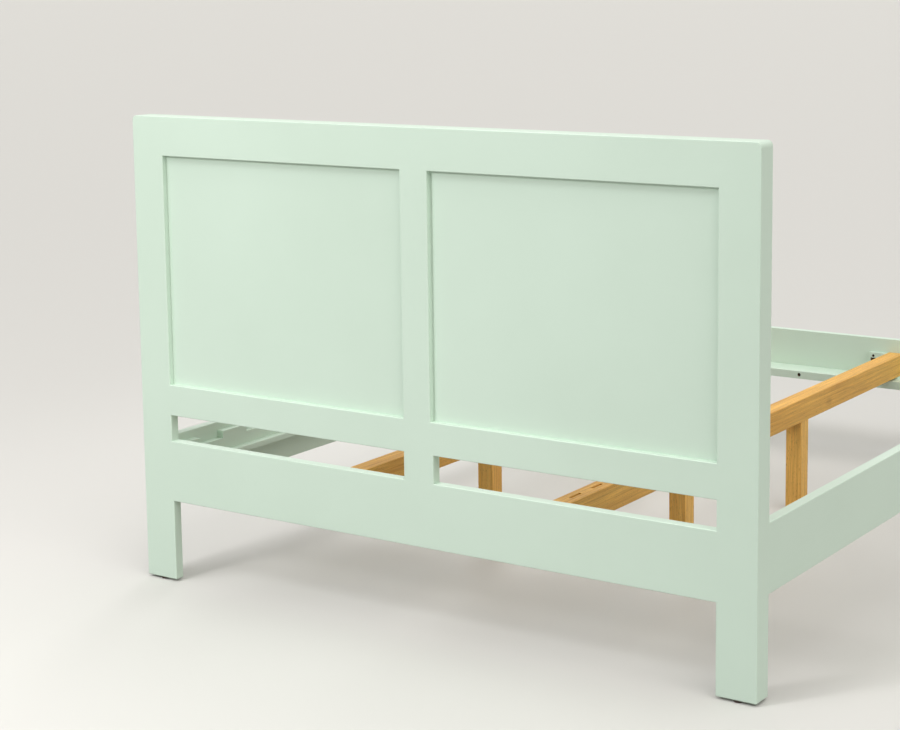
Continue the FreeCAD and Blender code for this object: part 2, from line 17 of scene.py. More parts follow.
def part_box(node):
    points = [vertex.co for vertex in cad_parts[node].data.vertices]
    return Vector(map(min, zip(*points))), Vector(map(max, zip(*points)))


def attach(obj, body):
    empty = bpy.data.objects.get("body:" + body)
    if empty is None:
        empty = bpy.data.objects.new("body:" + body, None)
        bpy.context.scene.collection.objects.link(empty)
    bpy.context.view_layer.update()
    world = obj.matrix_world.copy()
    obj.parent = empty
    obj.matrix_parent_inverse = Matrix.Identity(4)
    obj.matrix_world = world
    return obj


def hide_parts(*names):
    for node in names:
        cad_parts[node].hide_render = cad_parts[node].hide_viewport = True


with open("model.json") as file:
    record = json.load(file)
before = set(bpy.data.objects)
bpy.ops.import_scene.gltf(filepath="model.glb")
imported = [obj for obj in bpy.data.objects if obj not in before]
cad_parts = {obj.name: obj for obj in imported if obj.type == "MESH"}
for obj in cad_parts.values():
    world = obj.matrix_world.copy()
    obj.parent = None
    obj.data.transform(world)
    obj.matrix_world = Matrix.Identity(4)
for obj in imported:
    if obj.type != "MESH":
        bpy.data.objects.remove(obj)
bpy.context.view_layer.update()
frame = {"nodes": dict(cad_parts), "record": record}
nodes = frame["nodes"]

# %% [markdown]
# The camera stands behind the headboard and to its right, a little above it. Its place, direction and lens
# were worked out from the straight edges of the boards, so the headboard falls where it does in the picture.
# The frame of the picture is a crop, and the lens shift says how far its middle lies from the lens axis.

# %% Camera
MM = 0.001
IMAGE_WIDTH = 900
SENSOR_WIDTH = 36.0
VIEW_DEPTH = 200.0
CAMERA_PLACE = (2435.2 * MM, -4465.6 * MM, 1463.4 * MM)
# The three turns are in radians
CAMERA_YAW = 0.5941
CAMERA_PITCH = -0.14315
CAMERA_ROLL = -0.01245
FOCAL_PIXELS = 1966.3
SHIFT_PIXELS = (-14.2, -114.04)

scene = bpy.context.scene
camera_data = bpy.data.cameras.new("studio_camera")
camera_data.sensor_width = SENSOR_WIDTH
camera_data.lens = FOCAL_PIXELS / IMAGE_WIDTH * SENSOR_WIDTH
camera_data.shift_x = SHIFT_PIXELS[0] / IMAGE_WIDTH
camera_data.shift_y = SHIFT_PIXELS[1] / IMAGE_WIDTH
camera_data.clip_end = VIEW_DEPTH
camera = bpy.data.objects.new("studio_camera", camera_data)
turn = Matrix.Rotation(CAMERA_YAW, 4, "Z") @ Matrix.Rotation(math.pi / 2 + CAMERA_PITCH, 4, "X")
camera.matrix_world = Matrix.Translation(CAMERA_PLACE) @ turn @ Matrix.Rotation(CAMERA_ROLL, 4, "Z")
scene.collection.objects.link(camera)
scene.camera = camera
print("lens: %.1f mm" % camera_data.lens)

# %% [markdown]
# Four small helpers serve every material and every node tree below. Colours are written as the sRGB hex
# values that a paint chart would give, and the first helper turns them into the linear values that a renderer
# adds up. The second feeds a node's inputs with values or links. The third adds a node with its settings and
# feeds it, so a tree reads from top to bottom. The last starts a material.
#
# Some nodes have several sockets of one name, one for each kind of data, so these go by number. Of a Mix node
# for colours, 0 is the factor, 6 and 7 are the two colours, and output 2 is the result. Of a Random Value node
# for numbers, 2 and 3 are the lowest and the highest, and output 1 is the result.


# %% Helpers for colours and nodes
def linear(hex_colour):
    """Linear RGBA of an sRGB hex colour."""
    channels = [int(hex_colour[i:i + 2], 16) / 255 for i in (1, 3, 5)]
    return tuple(c / 12.92 if c <= 0.04045 else ((c + 0.055) / 1.055) ** 2.4 for c in channels) + (1.0,)


def feed(tree, node, inputs):
    """Feeds a node's inputs, each with a value, a socket, or the first output of another node."""
    for name, value in inputs.items():
        if isinstance(value, bpy.types.Node):
            value = value.outputs[0]
        if isinstance(value, bpy.types.NodeSocket):
            tree.links.new(value, node.inputs[name])
        else:
            node.inputs[name].default_value = value


def add(tree, kind, inputs=None, **settings):
    """Adds one node to a tree, sets its properties and feeds its inputs."""
    node = tree.nodes.new(kind)
    for name, value in settings.items():
        setattr(node, name, value)
    feed(tree, node, inputs or {})
    return node


def new_material(name):
    """An empty material with its shader: returns the material, its tree and the shader node."""
    material = bpy.data.materials.new(name)
    material.use_nodes = True
    tree = material.node_tree
    return material, tree, tree.nodes["Principled BSDF"]


MIDDLE_GREY = "#808080"
print("middle grey in linear light: %.3f" % linear(MIDDLE_GREY)[0])

# %% [markdown]
# The studio is a plain pale floor under a plain sky. Light that comes back up from a pale floor would fill
# the thin dark lines under the upper edges of the headboard's panels. So the floor shows one tone to the
# camera and to glossy paint, and a darker one to the light that it passes on. It is marked as stage, because
# it isn't part of the bed. What lies beyond it shows in the colour that the lit floor has, while the sky
# itself is dim.

# %% Studio floor and sky
FLOOR_SIZE = 500.0
FLOOR_COLOUR = "#CECCC8"
FLOOR_BOUNCE = "#8A8884"
FLOOR_ROUGHNESS = 0.6
BACKDROP_COLOUR = "#EFEDE7"
SKY_COLOUR = "#F7FBFF"
SKY_STRENGTH = 0.11


def seen_or_mirrored(tree):
    """1 for a ray from the camera or from a gloss, and 0 for light that is passed on."""
    rays = add(tree, "ShaderNodeLightPath").outputs
    return add(tree, "ShaderNodeMath", {0: rays["Is Camera Ray"], 1: rays["Is Glossy Ray"]},
               operation="MAXIMUM")


half = FLOOR_SIZE / 2
floor_mesh = bpy.data.meshes.new("studio_floor")
floor_corners = [(-half, -half, 0), (half, -half, 0), (half, half, 0), (-half, half, 0)]
floor_mesh.from_pydata(floor_corners, [], [(0, 1, 2, 3)])
floor = bpy.data.objects.new("studio_floor", floor_mesh)
scene.collection.objects.link(floor)
floor_paint, floor_tree, floor_shader = new_material("pale_studio_floor")
floor_tone = add(floor_tree, "ShaderNodeMix", {0: seen_or_mirrored(floor_tree), 6: linear(FLOOR_BOUNCE),
                                               7: linear(FLOOR_COLOUR)}, data_type="RGBA")
feed(floor_tree, floor_shader, {"Base Color": floor_tone.outputs[2], "Roughness": FLOOR_ROUGHNESS})
floor_mesh.materials.append(floor_paint)

world = bpy.data.worlds.new("studio_sky")
world.use_nodes = True
sky_tree = world.node_tree
sky = sky_tree.nodes["Background"]
feed(sky_tree, sky, {"Color": linear(SKY_COLOUR), "Strength": SKY_STRENGTH})
seen = add(sky_tree, "ShaderNodeBackground", {"Color": linear(BACKDROP_COLOUR)})
backdrop = add(sky_tree, "ShaderNodeMixShader", {0: seen_or_mirrored(sky_tree), 1: sky, 2: seen})
feed(sky_tree, sky_tree.nodes["World Output"], {"Surface": backdrop})
scene.world = world
scene.view_settings.view_transform = "Standard"
print("floor: %s, %.0f m wide, under %s" % (floor.name, FLOOR_SIZE, world.name))

# %% [markdown]
# Six soft lamps light the bed. The front lamp stands rather near, to the left of the camera: it lights the
# headboard's back almost straight on, so the recessed panels have only thin dark lines under their upper
# edges. The ceiling lamp is very wide and makes every upward face the brightest. The right lamp fills the
# side of the post, the steep lamp puts a soft shadow on the floor, and the left lamp lifts the upper left
# corner. The foot lamp is a soft spot beyond the foot, aimed at the cane on the headboard's front. It has no
# glare, as if it were polarised, because the boards' upper edges would mirror it. Far lamps shine one way
# from everywhere, as the sun does, and near ones weaken with distance.

# %% Lamps
FAR_LAMPS = {
    "steep_lamp": {"way": (0.328, 0.571, -0.755), "angle": 22, "strength": 0.55, "colour": "#F6FAFF"},
    "ceiling_lamp": {"way": (-0.17, 0.03, -0.985), "angle": 85, "strength": 2.12, "colour": "#FFFDFA"},
    "right_lamp": {"way": (-0.80, 0.40, -0.45), "angle": 60, "strength": 1.25, "colour": "#FFFFFA"},
}
NEAR_LAMPS = {
    "front_lamp": {"place": (-1.15, -3.95, 2.25), "radius": 0.35, "power": 186.0},
    "left_lamp": {"place": (-1.30, -2.60, 2.70), "radius": 0.60, "power": 24.0},
}
FOOT_LAMP = {"place": (-2.40, 3.00, 1.50), "aim": (0.0, -1.0, 0.75), "radius": 0.60, "power": 230.0,
             "cone": 70, "blend": 1.0}


def facing(way):
    """The turn that points a lamp along a direction."""
    return Vector(way).to_track_quat("-Z", "Y").to_matrix().to_4x4()


def hang_lamp(name, kind, place, **settings):
    """Makes a lamp, sets its light's properties, and hangs it at a place and turn."""
    light = bpy.data.lights.new(name, kind)
    for setting, value in settings.items():
        setattr(light, setting, value)
    holder = bpy.data.objects.new(name, light)
    holder.matrix_world = place
    scene.collection.objects.link(holder)
    return holder


for name, lamp in FAR_LAMPS.items():
    hang_lamp(name, "SUN", facing(lamp["way"]), angle=math.radians(lamp["angle"]), energy=lamp["strength"],
              color=linear(lamp["colour"])[:3])
for name, lamp in NEAR_LAMPS.items():
    near_lamp = hang_lamp(name, "POINT", Matrix.Translation(lamp["place"]), shadow_soft_size=lamp["radius"],
                          energy=lamp["power"])
    near_lamp.visible_camera = False
beam_way = Vector(FOOT_LAMP["aim"]) - Vector(FOOT_LAMP["place"])
foot_lamp = hang_lamp("foot_lamp", "SPOT", Matrix.Translation(FOOT_LAMP["place"]) @ facing(beam_way),
                      spot_size=math.radians(FOOT_LAMP["cone"]), spot_blend=FOOT_LAMP["blend"],
                      shadow_soft_size=FOOT_LAMP["radius"], energy=FOOT_LAMP["power"])
foot_lamp.visible_camera = False
foot_lamp.visible_glossy = False
print("lamps:", ", ".join([*FAR_LAMPS, *NEAR_LAMPS, foot_lamp.name]))

# %% [markdown]
# Nearly everything that shows is sprayed with a satin mint-green paint on wood. Such paint is smooth but not
# dead flat: it has a faint orange peel from the spray gun, it sinks a little along the grain of the board
# below, and its tone drifts slightly over a metre. One function makes the finish for a board whose grain runs
# along X, Y or Z, so that rails, posts and side rails each get their own grain. Object coordinates are the
# same for every board, so the tone runs through the flush joints without a seam.

# %% Mint-green satin paint on wood
PAINT_DEEP = "#C8DACA"
PAINT_LIGHT = "#D2E4D5"
PAINT_IOR = 1.5
PAINT_ROUGHNESS = {"To Min": 0.30, "To Max": 0.42}
TONE_DRIFT = {"Scale": 1 / (420 * MM), "Detail": 3.0}
ORANGE_PEEL = {"Scale": 1 / (3.2 * MM), "Detail": 2.0}
PEEL_RELIEF = {"Strength": 0.10, "Distance": 0.25 * MM}
BOARD_GRAIN = {"width": 5 * MM, "length": 160 * MM, "detail": 4.0}
BOARD_GRAIN_RELIEF = {"Strength": 0.12, "Distance": 0.4 * MM}


def grain_scales(along, width, length):
    """Mapping scale that stretches a pattern along one axis: its width across and its length along."""
    return tuple(1 / length if axis == along else 1 / width for axis in "xyz")


def streaks(tree, place, along, width, length, detail):
    """A noise that is drawn out along the grain of a board."""
    stretch = add(tree, "ShaderNodeMapping", {"Vector": place, "Scale": grain_scales(along, width, length)})
    return add(tree, "ShaderNodeTexNoise", {"Vector": stretch, "Scale": 1.0, "Detail": detail})


def mint_paint(along):
    """Satin paint, sprayed: soft highlights, a fine peel, and the wood's grain just felt below it."""
    material, tree, shader = new_material("mint_satin_paint_grain_" + along)
    place = add(tree, "ShaderNodeTexCoord").outputs["Object"]
    drift = add(tree, "ShaderNodeTexNoise", {"Vector": place, **TONE_DRIFT})
    tone = add(tree, "ShaderNodeMix", {0: drift, 6: linear(PAINT_DEEP), 7: linear(PAINT_LIGHT)},
               data_type="RGBA")
    grain = streaks(tree, place, along, **BOARD_GRAIN)
    sheen = add(tree, "ShaderNodeMapRange", {"Value": grain, **PAINT_ROUGHNESS})
    low = add(tree, "ShaderNodeBump", {"Height": grain, **BOARD_GRAIN_RELIEF})
    peel = add(tree, "ShaderNodeTexNoise", {"Vector": place, **ORANGE_PEEL})
    high = add(tree, "ShaderNodeBump", {"Height": peel, "Normal": low, **PEEL_RELIEF})
    feed(tree, shader, {"Base Color": tone.outputs[2], "Roughness": sheen, "Normal": high, "IOR": PAINT_IOR})
    return material


PAINTS = {axis: mint_paint(axis) for axis in "xyz"}
print("paints:", ", ".join(paint.name for paint in PAINTS.values()))

# %% [markdown]
# The two middle beams and their legs are left as oiled hardwood, honey brown with a soft figure. Growth rings
# are nested tubes round the tree's middle. A board is sawn at a slight angle to them, so its faces show them
# as long bands and narrow arches, and its ends as arcs. Here a ring pattern lies round an axis that leans a
# little from the board's own, but only faintly. What the eye sees most are long straight streaks, fine fibres
# and short dark pores: these are noises stretched along the board, at widths in millimetres. A faint knot
# shows in the right beam's side. A dark spot near the top of a leg, just under the beam, is painted shadow of
# the beam on the leg. The legs were cut from a paler board than the beams, so each has its own pair of tones.

# %% Figure of the hardwood
WAVE_REPEAT = 2 * math.pi / 20  # the wave texture's own repeat, at a scale of 1
RING_WIDTH = 9 * MM
RINGS = {"Scale": WAVE_REPEAT / RING_WIDTH, "Distortion": 4.0, "Detail": 3.0, "Detail Scale": 0.6}
RING_STRETCH = 5.0
RING_LEAN = (0.25, 0.15, 0.22)
PATCHES = {"width": 20 * MM, "length": 300 * MM, "detail": 2.0}
STREAKS = {"width": 2.8 * MM, "length": 320 * MM, "detail": 2.0}
FIGURE_BASE = 0.28
PATCH_SHARE = 0.45
RING_SHARE = 0.08
STREAK_SHARE = 0.45
FIGURE_RANGE = {"From Min": 0.48, "From Max": 1.02}
# The spot on a beam (y) is a knot. The spot on a leg (z) is painted shadow, where the beam shades the top of
# the leg.
KNOT_AND_SHADOW_SPOTS = {"y": (300.5 * MM, 477 * MM, 269 * MM), "z": (283 * MM, 299 * MM, 238 * MM)}
DARK_SPOT_SIZE = (13 * MM, 30 * MM)
DARK_SPOT_FADE = {"From Min": 0.2, "From Max": 1.0, "To Min": 0.3, "To Max": 0.0}


def wood_figure(tree, place, along):
    """How pale a board is, from 0 to 1: broad patches, faint rings and long streaks, added up."""
    lean = add(tree, "ShaderNodeMapping", {"Vector": place, "Rotation": RING_LEAN,
                                           "Scale": grain_scales(along, 1.0, RING_STRETCH)})
    rings = add(tree, "ShaderNodeTexWave", {"Vector": lean, **RINGS}, wave_type="RINGS",
                rings_direction=along.upper())
    patterns = ((streaks(tree, place, along, **PATCHES), PATCH_SHARE), (rings.outputs["Fac"], RING_SHARE),
                (streaks(tree, place, along, **STREAKS), STREAK_SHARE))
    figure = FIGURE_BASE
    for pattern, share in patterns:
        figure = add(tree, "ShaderNodeMath", {0: pattern, 1: share, 2: figure}, operation="MULTIPLY_ADD")
    return add(tree, "ShaderNodeMapRange", {"Value": figure, **FIGURE_RANGE})


def knot_and_shadow_depth(tree, place, along):
    """How dark a board is round its dark spot, a knot on a beam and painted shadow on a leg: most at the
    middle, and nothing beyond the edge.
    """
    off = add(tree, "ShaderNodeVectorMath", {0: place, 1: KNOT_AND_SHADOW_SPOTS[along]}, operation="SUBTRACT")
    shape = add(tree, "ShaderNodeVectorMath", {0: off, 1: grain_scales(along, *DARK_SPOT_SIZE)},
                operation="MULTIPLY")
    far_out = add(tree, "ShaderNodeVectorMath", {0: shape}, operation="LENGTH").outputs["Value"]
    return add(tree, "ShaderNodeMapRange", {"Value": far_out, **DARK_SPOT_FADE}, interpolation_type="SMOOTHSTEP")


print("growth rings: %.0f mm apart" % (RING_WIDTH / MM))

# %% [markdown]
# The finish puts the figure, the fibres, the pores and the dark spot on top of each other. That spot is a knot
# on a beam and painted shadow on a leg. Oil soaks in and leaves a low gloss that varies with the fibres, and
# the open pores stay as small dents. Real fibres and pores are a few times finer than these, which are drawn
# as coarse as they need to show.

# %% Oiled honey-brown hardwood
WOOD_TONES = {"y": ("#F3C062", "#BD8030"), "z": ("#FFCE70", "#D08C38")}
PORE = "#74461B"
# Brown of the knot on a beam, and of the painted shadow on a leg
KNOT_AND_SHADOW_BROWN = "#6E4318"
WOOD_IOR = 1.48
WOOD_ROUGHNESS = {"To Min": 0.42, "To Max": 0.60}
FIBRES = {"width": 1.2 * MM, "length": 70 * MM, "detail": 2.0}
FIBRE_SHADE = {"From Min": 0.3, "From Max": 0.7, "To Min": 0.78, "To Max": 1.12}
FIBRE_RELIEF = {"Strength": 0.2, "Distance": 0.3 * MM}
PORES = {"width": 0.9 * MM, "length": 10 * MM, "detail": 1.0}
PORE_FADE = {"From Min": 0.64, "From Max": 0.74, "To Min": 0.0, "To Max": 0.7}
PORE_RELIEF = {"Strength": 0.4, "Distance": 0.3 * MM}


def hardwood(along):
    """Planed and oiled wood: warm soft bands, fine fibres, pores and a dark spot (a knot on a beam, painted
    shadow on a leg), with a low gloss.
    """
    pale, deep = (linear(colour) for colour in WOOD_TONES[along])
    material, tree, shader = new_material("oiled_hardwood_grain_" + along)
    place = add(tree, "ShaderNodeTexCoord").outputs["Object"]
    figure = wood_figure(tree, place, along)
    bands = add(tree, "ShaderNodeMix", {0: figure, 6: deep, 7: pale}, data_type="RGBA")
    fibres = streaks(tree, place, along, **FIBRES)
    shade = add(tree, "ShaderNodeMapRange", {"Value": fibres, **FIBRE_SHADE})
    toned = add(tree, "ShaderNodeVectorMath", {0: bands.outputs[2], "Scale": shade}, operation="SCALE")
    pits = add(tree, "ShaderNodeMapRange", {"Value": streaks(tree, place, along, **PORES), **PORE_FADE})
    pored = add(tree, "ShaderNodeMix", {0: pits, 6: toned, 7: linear(PORE)}, data_type="RGBA")
    # The dark spot is a knot on a beam, and painted shadow under the beam on a leg
    dark_spot = knot_and_shadow_depth(tree, place, along)
    wood = add(tree, "ShaderNodeMix", {0: dark_spot, 6: pored.outputs[2], 7: linear(KNOT_AND_SHADOW_BROWN)}, data_type="RGBA")
    gloss = add(tree, "ShaderNodeMapRange", {"Value": fibres, **WOOD_ROUGHNESS})
    ridges = add(tree, "ShaderNodeBump", {"Height": fibres, **FIBRE_RELIEF})
    dents = add(tree, "ShaderNodeBump", {"Height": pits, "Normal": ridges, **PORE_RELIEF}, invert=True)
    feed(tree, shader, {"Base Color": wood.outputs[2], "Roughness": gloss, "Normal": dents, "IOR": WOOD_IOR})
    return material


WOODS = {axis: hardwood(axis) for axis in "yz"}
print("woods:", ", ".join(wood.name for wood in WOODS.values()))

# %% [markdown]
# The small hardware is mostly hidden: zinc-plated steel for hooks, slot plates and most screws, black steel
# for the screws that hold the ends of the beams, bare beech for dowels, and dark brown moulded plastic for the
# glides under the posts. The black of those screws also stands as painted shade at the bottom of their holes.
# Each still gets its own surface, because a screw shows at the bottom of its hole and a glide shows as a dark
# spot under its post. What they share is a tone that wanders between two colours in small specks, so one
# function makes that, and each finish adds its own gloss. The plastic's grit is drawn coarse enough to show.


# %% Hardware finishes
def speckled(name, tones, speck, detail):
    """A finish with specks of two tones: returns the material, its tree, its shader and the specks."""
    deep, pale = (linear(colour) for colour in tones)
    material, tree, shader = new_material(name)
    place = add(tree, "ShaderNodeTexCoord").outputs["Object"]
    specks = add(tree, "ShaderNodeTexNoise", {"Vector": place, "Scale": 1 / speck, "Detail": detail})
    tone = add(tree, "ShaderNodeMix", {0: specks, 6: deep, 7: pale}, data_type="RGBA")
    feed(tree, shader, {"Base Color": tone.outputs[2]})
    return material, tree, shader, specks


def zinc_steel():
    """Zinc-plated steel: a bluish grey metal with a cloudy, slightly yellow film."""
    material, tree, shader, clouds = speckled("bright_zinc_plated_steel", tones=("#A9ABA9", "#C9C6B8"),
                                              speck=9 * MM, detail=3.0)
    dull = add(tree, "ShaderNodeMapRange", {"Value": clouds, "To Min": 0.28, "To Max": 0.48})
    feed(tree, shader, {"Metallic": 1.0, "Roughness": dull})
    return material


def black_steel():
    """Phosphated steel: a matte, nearly black film with a faint bloom, whose near-black also paints the shade
    at the bottom of the holes.
    """
    material, tree, shader, _ = speckled("near_black_steel_painted_hole_shade", tones=("#161615", "#2E2D2B"),
                                         speck=3 * MM, detail=2.0)
    feed(tree, shader, {"Roughness": 0.6})
    return material


def bare_wood_with_hole_shade():
    """Bare wood inside a bored hole, torn by the drill, and painted nearly black-brown as the shade deep in
    the hole.
    """
    # These dark brown tones are painted shade deep in the hole, over bare wood
    material, tree, shader, _ = speckled("bare_wood_painted_hole_shade", tones=("#3A2716", "#6A4A2C"),
                                         speck=1.5 * MM, detail=3.0)
    feed(tree, shader, {"Roughness": 0.8})
    return material


def beech():
    """Turned beech: pale pinkish wood with short dark flecks."""
    material, tree, shader, _ = speckled("turned_beech", tones=("#C9A57C", "#E0C49E"),
                                         speck=2 * MM, detail=2.0)
    feed(tree, shader, {"Roughness": 0.6})
    return material


def brown_plastic():
    """Moulded polyethylene: dark brown, matte, with spark-eroded grit."""
    material, tree, shader, grit = speckled("brown_moulded_plastic", tones=("#24140E", "#3A2218"),
                                            speck=0.8 * MM, detail=1.0)
    bump = add(tree, "ShaderNodeBump", {"Height": grit, "Strength": 0.3, "Distance": 0.1 * MM})
    feed(tree, shader, {"Roughness": 0.65, "Normal": bump})
    return material


STEEL = zinc_steel()
# Near-black steel, which also paints the shade deep in the keepers' holes
BLACK_STEEL_AND_HOLE_SHADE = black_steel()
HOLE_WOOD_AND_SHADE = bare_wood_with_hole_shade()
BEECH = beech()
PLASTIC = brown_plastic()
print("hardware:", STEEL.name, BLACK_STEEL_AND_HOLE_SHADE.name, HOLE_WOOD_AND_SHADE.name, BEECH.name, PLASTIC.name)

# %% [markdown]
# Every board of the frame keeps its shape and gets one finish. A board's grain follows its longest side, so
# the finish is chosen from the size of its box. The two plain cane sheets are replaced further down, so
# theirs never shows.

# %% Dress the frame
FINISH_OF_SLOT = {"zinc_plated_steel": STEEL, "black_steel": BLACK_STEEL_AND_HOLE_SHADE, "beech_dowel": BEECH,
                  "dark_brown_plastic": PLASTIC}


def longest_axis(node):
    """The axis along which a node is longest."""
    low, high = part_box(node)
    size = high - low
    return "xyz"[max(range(3), key=lambda i: size[i])]


def finish_for(node, slot):
    """The finish of a frame node, from its material slot and the way its grain runs."""
    if slot in FINISH_OF_SLOT:
        return FINISH_OF_SLOT[slot]
    if slot == "oiled_hardwood":
        return WOODS[longest_axis(node)]
    return PAINTS[longest_axis(node)]


slot_of = {row["node"]: row["material_slot"] for row in frame["record"]["subparts"]}
for node, thing in nodes.items():
    thing.data.materials.clear()
    thing.data.materials.append(finish_for(node, slot_of[node]))
print("dressed nodes:", len(slot_of))

# %% [markdown]
# The ledges and keepers at both ends were bored after painting, and their holes show bare wood. Its very dark
# brown is painted shade, the shade that lies deep in the holes. These faces could be new pieces, but they are
# already there, so they get a second material slot. They are told from the board's outside because they lie
# deeper than its skin and don't reach through it.

# %% Bare wood and painted shade in the bored holes
BORED_BOARDS = ("head_ledge", "foot_ledge", "head_beam_keepers", "foot_beam_keepers")
SKIN = 0.05 * MM
EDGE = 3 * MM
THROUGH_SHARE = 0.9


def hole_faces(thing, low, high):
    """Faces in the holes bored along Y into a board: below its skin, and not through it."""
    found = []
    for face in thing.data.polygons:
        depths = [thing.data.vertices[number].co.y for number in face.vertices]
        outside = max(depths) - low.y < SKIN or high.y - min(depths) < SKIN
        through = max(depths) - min(depths) > THROUGH_SHARE * (high.y - low.y)
        within = all(low[i] + EDGE < face.center[i] < high[i] - EDGE for i in (0, 2))
        if within and not outside and not through:
            found.append(face)
    return found


# The hole faces get bare wood painted dark as the shade in the holes
for node in BORED_BOARDS:
    nodes[node].data.materials.append(HOLE_WOOD_AND_SHADE)
    faces = hole_faces(nodes[node], *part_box(node))
    for face in faces:
        face.material_index = 1
    print(node, "faces in holes:", len(faces), "of", len(nodes[node].data.polygons))

# %% [markdown]
# Cane is the bark of the rattan palm, split into flat strands. It is straw coloured and naturally glossy. A
# weave of one single tone looks like plastic, so each strand gets a tone of its own, from a number that the
# weave below stores on it, and broad patches and short fibres lie over that.

# %% Cane strand finish
CANE_PALE = "#DDBF8A"
CANE_DEEP = "#BE9555"
CANE_IOR = 1.5
CANE_ROUGHNESS = 0.42
CANE_PATCHES = {"Scale": 1 / (35 * MM), "Detail": 3.0}
CANE_FIBRES = {"Scale": 1 / (1.5 * MM), "Detail": 2.0}
CANE_RELIEF = {"Strength": 0.2, "Distance": 0.1 * MM}


def rattan_cane():
    """Split rattan bark: straw coloured, naturally glossy, with faint fibres and a tone for each strand."""
    material, tree, shader = new_material("split_rattan_cane")
    place = add(tree, "ShaderNodeTexCoord").outputs["Object"]
    strand = add(tree, "ShaderNodeAttribute", attribute_name="strand_tone")
    patches = add(tree, "ShaderNodeTexNoise", {"Vector": place, **CANE_PATCHES})
    both = add(tree, "ShaderNodeMath", {0: strand.outputs["Fac"], 1: patches}, operation="ADD")
    mean = add(tree, "ShaderNodeMath", {0: both, 1: 0.5}, operation="MULTIPLY")
    tone = add(tree, "ShaderNodeMix", {0: mean, 6: linear(CANE_DEEP), 7: linear(CANE_PALE)}, data_type="RGBA")
    fibres = add(tree, "ShaderNodeTexNoise", {"Vector": place, **CANE_FIBRES})
    bump = add(tree, "ShaderNodeBump", {"Height": fibres, **CANE_RELIEF})
    feed(tree, shader, {"Base Color": tone.outputs[2], "Roughness": CANE_ROUGHNESS, "Normal": bump,
                        "IOR": CANE_IOR})
    return material


CANE = rattan_cane()
print("cane finish:", CANE.name)

# %% [markdown]
# Cane webbing is woven six ways: upright strands in pairs, level strands in pairs, and single strands on both
# diagonals. The diagonals cross the pairs halfway between two crossings, which leaves the round eight-sided
# holes. One upright of each pair lies behind the level strands and the other in front; one diagonal dives
# under the uprights and rises over the level strands, and the other does the opposite.
#
# Thousands of crossings are too many to place by hand, but each of the six families follows one rule. So one
# Geometry Nodes tree lays a single family of strands, and what differs between the families is an input.

# %% Inputs of the strand tree
STRAND_INPUTS = (
    ("Count", "NodeSocketInt"),
    ("Spacing", "NodeSocketFloat"),
    ("Aside", "NodeSocketFloat"),
    ("Length", "NodeSocketFloat"),
    ("Pieces", "NodeSocketInt"),
    ("Turn", "NodeSocketFloat"),
    ("Lift", "NodeSocketFloat"),
    ("Wave", "NodeSocketFloat"),
    ("Wave Pitch", "NodeSocketFloat"),
    ("Wave Way", "NodeSocketVector"),
    ("Crop", "NodeSocketVector"),
    ("Strand Width", "NodeSocketFloat"),
    ("Strand Thickness", "NodeSocketFloat"),
    ("Jitter", "NodeSocketFloat"),
    ("Seed", "NodeSocketInt"),
    ("Material", "NodeSocketMaterial"),
)

STRANDS = bpy.data.node_groups.new("cane_strand_row", "GeometryNodeTree")
STRANDS.interface.new_socket("Geometry", in_out="INPUT", socket_type="NodeSocketGeometry")
for name, kind in STRAND_INPUTS:
    STRANDS.interface.new_socket(name, in_out="INPUT", socket_type=kind)
STRANDS.interface.new_socket("Geometry", in_out="OUTPUT", socket_type="NodeSocketGeometry")
GIVEN = add(STRANDS, "NodeGroupInput").outputs
print("inputs of the strand tree:", len(STRAND_INPUTS))

# %% [markdown]
# The tree works in four steps. The first lays straight strands side by side, each a little off its place,
# because no weave is perfect, and gives each a number for its tone.


